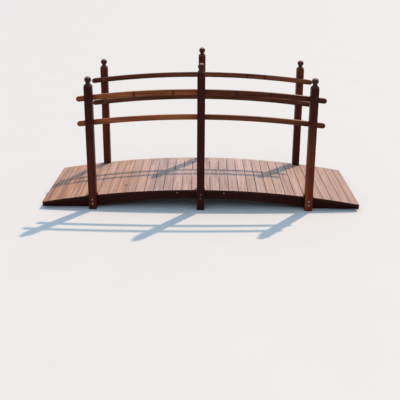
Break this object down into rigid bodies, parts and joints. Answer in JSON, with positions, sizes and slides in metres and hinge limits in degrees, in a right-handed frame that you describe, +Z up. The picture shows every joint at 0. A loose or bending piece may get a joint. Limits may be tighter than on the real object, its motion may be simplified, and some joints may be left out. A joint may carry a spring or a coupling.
{
  "type": "garden moon bridge",
  "caption": "Low arched wooden footbridge for a garden, with a boarded deck, bowed handrails and square posts topped with turned balls.",
  "frame": {"origin": "on the ground, under the middle of the bridge", "axes": "+X along the walk, to the right seen from the near side; +Y across the walk, to the far side; +Z up"},
  "size_m": [2.2112, 0.744, 1.022],
  "materials": {
    "frame_wood": "dark red-brown stain, satin",
    "rail_wood": "red-brown stain, satin",
    "deck_wood": "worn brown stain, matt"
  },
  "bodies": {
    "root": {"cross_beam_left": "frame_wood", "cross_beam_right": "frame_wood", "crown_board_left": "deck_wood", "crown_board_right": "deck_wood", "deck_board_left_17": "deck_wood", "deck_board_right_17": "deck_wood", "deck_boards_left_10_11": "deck_wood", "deck_boards_left_13_14": "deck_wood", "deck_boards_left_15_16": "deck_wood", "deck_boards_left_2_3": "deck_wood", "deck_boards_left_4_5": "deck_wood", "deck_boards_left_6_7": "deck_wood", "deck_boards_left_8_9": "deck_wood", "deck_boards_right_10_11": "deck_wood", "deck_boards_right_13_14": "deck_wood", "deck_boards_right_15_16": "deck_wood", "deck_boards_right_2_3": "deck_wood", "deck_boards_right_4_5": "deck_wood", "deck_boards_right_6_7": "deck_wood", "deck_boards_right_8_9": "deck_wood", "post_board_left": "deck_wood", "post_board_right": "deck_wood", "post_far_left": "frame_wood", "post_far_middle": "frame_wood", "post_far_right": "frame_wood", "post_near_left": "frame_wood", "post_near_middle": "frame_wood", "post_near_right": "frame_wood", "rail_far_lower": "rail_wood", "rail_far_top": "rail_wood", "rail_near_lower": "rail_wood", "rail_near_top": "rail_wood", "stringer_far": "frame_wood", "stringer_near": "frame_wood"}
  },
  "joints": []
}
